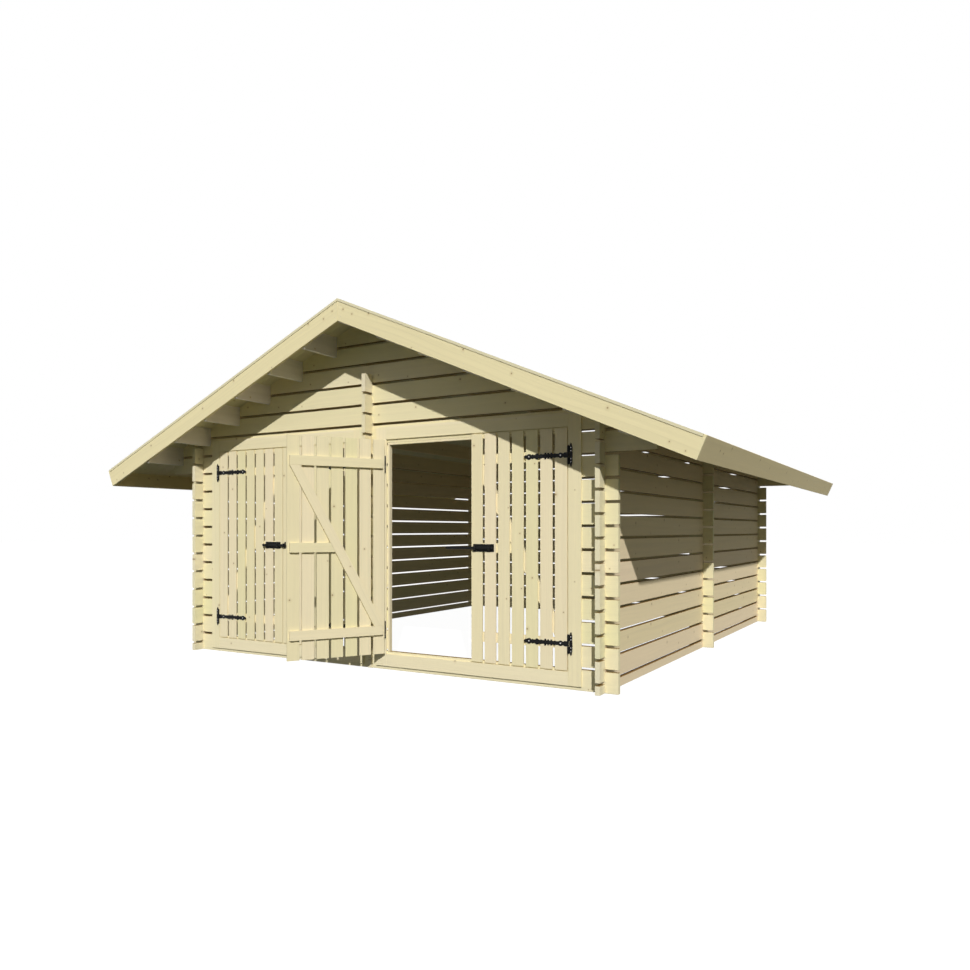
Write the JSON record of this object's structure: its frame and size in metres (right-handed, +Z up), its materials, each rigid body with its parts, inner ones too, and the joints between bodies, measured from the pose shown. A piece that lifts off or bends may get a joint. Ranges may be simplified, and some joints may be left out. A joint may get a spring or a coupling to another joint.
{
  "type": "log store with slatted double doors",
  "caption": "Gable-roofed outdoor store of notched logs laid with air gaps, with slatted double doors on strap hinges, sliding bolts and deep roof overhangs.",
  "frame": {"origin": "on the ground under the middle of the front wall's outer face, on the underside of the lowest centre cross log", "axes": "+X to the right and +Y to the back as seen from the front, +Z up"},
  "size_m": [5.42, 5.8241, 2.776],
  "materials": {
    "log_pine": "planed, untreated",
    "planed_pine": "planed, untreated",
    "roof_boards": "planed, untreated",
    "black_iron": "satin black"
  },
  "bodies": {
    "root": {"front_sill_log": "log_pine", "front_left_logs": "log_pine", "front_centre_logs": "log_pine", "front_right_logs": "log_pine", "lintel_log": "log_pine", "front_gable_logs": "log_pine", "back_wall_logs": "log_pine", "back_gable_logs": "log_pine", "left_wall_logs": "log_pine", "right_wall_logs": "log_pine", "front_cross_logs": "log_pine", "back_cross_logs": "log_pine", "side_cross_logs": "log_pine", "purlins": "log_pine", "left_roof_boards": "roof_boards", "right_roof_boards": "roof_boards", "front_left_bargeboard": "planed_pine", "front_right_bargeboard": "planed_pine", "back_left_bargeboard": "planed_pine", "back_right_bargeboard": "planed_pine", "left_eave_board": "planed_pine", "right_eave_board": "planed_pine", "left_door_casing": "planed_pine", "right_door_casing": "planed_pine", "left_door_lining": "planed_pine", "right_door_lining": "planed_pine", "hinge_plates": "black_iron", "fixed_leaf_slats": "planed_pine", "fixed_leaf_ledges": "planed_pine", "fixed_leaf_straps": "black_iron", "left_bolt_keeper": "black_iron"},
    "left_leaf": {"left_leaf_slats": "planed_pine", "left_leaf_ledges": "planed_pine", "left_leaf_straps": "black_iron", "left_bolt_plate": "black_iron"},
    "left_bolt": {"left_bolt_rod": "black_iron"},
    "open_leaf": {"open_leaf_slats": "planed_pine", "open_leaf_ledges": "planed_pine", "open_leaf_straps": "black_iron", "right_bolt_keeper": "black_iron"},
    "right_leaf": {"right_leaf_slats": "planed_pine", "right_leaf_ledges": "planed_pine", "right_leaf_straps": "black_iron", "right_bolt_plate": "black_iron"},
    "right_bolt": {"right_bolt_rod": "black_iron"}
  },
  "joints": [
    {"name": "left_leaf_hinge", "type": "hinge", "parent": "root", "child": "left_leaf", "pos_m": [-1.6875, -0.0205, 0.942], "axis": [0, 0, -1], "range_deg": [0, 120]},
    {"name": "left_bolt_slide", "type": "slide", "parent": "left_leaf", "child": "left_bolt", "axis": [1, 0, 0], "range_m": [-0.06, 0]},
    {"name": "open_leaf_hinge", "type": "hinge", "parent": "root", "child": "open_leaf", "pos_m": [0.155, -0.0205, 0.942], "axis": [0, 0, -1], "range_deg": [-120, 26]},
    {"name": "right_leaf_hinge", "type": "hinge", "parent": "root", "child": "right_leaf", "pos_m": [1.6875, -0.0205, 0.942], "axis": [0, 0, 1], "range_deg": [0, 120]},
    {"name": "right_bolt_slide", "type": "slide", "parent": "right_leaf", "child": "right_bolt", "axis": [-1, 0, 0], "range_m": [-0.25, 0]}
  ]
}
